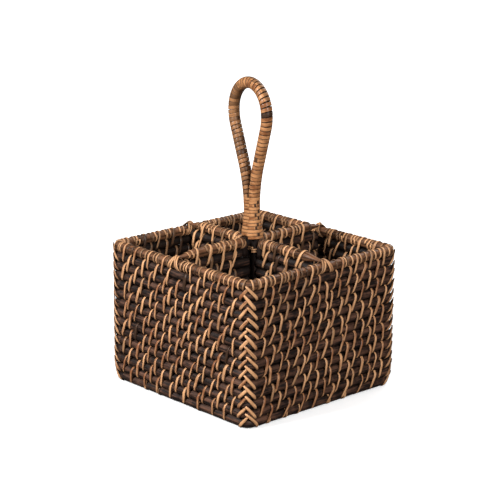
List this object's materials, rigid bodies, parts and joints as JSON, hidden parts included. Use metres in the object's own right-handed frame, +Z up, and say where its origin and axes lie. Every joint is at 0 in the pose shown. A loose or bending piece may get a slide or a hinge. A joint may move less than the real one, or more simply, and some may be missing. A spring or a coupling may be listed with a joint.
{
  "type": "utensil caddy",
  "caption": "Square open caddy of stacked rattan rods lashed with split cane, with crossed dividers and a wrapped loop handle.",
  "frame": {"origin": "middle of the base, on the plane the caddy stands on", "axes": "X to the right along the front wall, Y to the back wall, Z up; the handle loop lies nearly in the XZ plane"},
  "size_m": [0.178, 0.178, 0.2697],
  "materials": {
    "rod": "dark-stained rattan rod, satin",
    "rim": "brown-stained rattan rod, worn, satin",
    "cane": "honey-coloured split cane, satin",
    "wrap": "stained rattan peel wound over the handle, satin"
  },
  "bodies": {
    "root": {"base_rods": "rod", "base_lashing": "cane", "foot_rod": "rod", "wall_rod_1": "rod", "wall_rod_2": "rod", "wall_rod_3": "rod", "wall_rod_4": "rod", "wall_rod_5": "rod", "wall_rod_6": "rod", "wall_rod_7": "rod", "wall_rod_8": "rod", "wall_rod_9": "rod", "wall_rod_10": "rod", "wall_rod_11": "rod", "wall_rod_12": "rod", "wall_rod_13": "rod", "rim_rod": "rim", "rim_loops": "cane", "wall_lashing_0": "cane", "wall_lashing_1": "cane", "wall_lashing_2": "cane", "wall_lashing_3": "cane", "wall_lashing_4": "cane", "wall_lashing_5": "cane", "wall_lashing_6": "cane", "wall_lashing_7": "cane", "wall_lashing_8": "cane", "wall_lashing_9": "cane", "wall_lashing_10": "cane", "wall_lashing_11": "cane", "wall_lashing_12": "cane", "wall_lashing_13": "cane", "corner_lacing_front_right": "cane", "corner_lacing_back_right": "cane", "corner_lacing_back_left": "cane", "corner_lacing_front_left": "cane", "corner_returns_front_right": "cane", "corner_returns_back_right": "cane", "corner_returns_back_left": "cane", "corner_returns_front_left": "cane", "divider_rods_right": "rod", "divider_rods_back": "rod", "divider_rods_left": "rod", "divider_rods_front": "rod", "divider_top_right": "rim", "divider_top_back": "rim", "divider_top_left": "rim", "divider_top_front": "rim", "divider_lashing_right": "cane", "divider_lashing_back": "cane", "divider_lashing_left": "cane", "divider_lashing_front": "cane", "rim_tie_right": "cane", "rim_tie_back": "cane", "rim_tie_left": "cane", "rim_tie_front": "cane", "handle_core": "rod", "handle_wrap": "wrap", "neck_wrap": "wrap", "post_binding": "cane"}
  },
  "joints": []
}
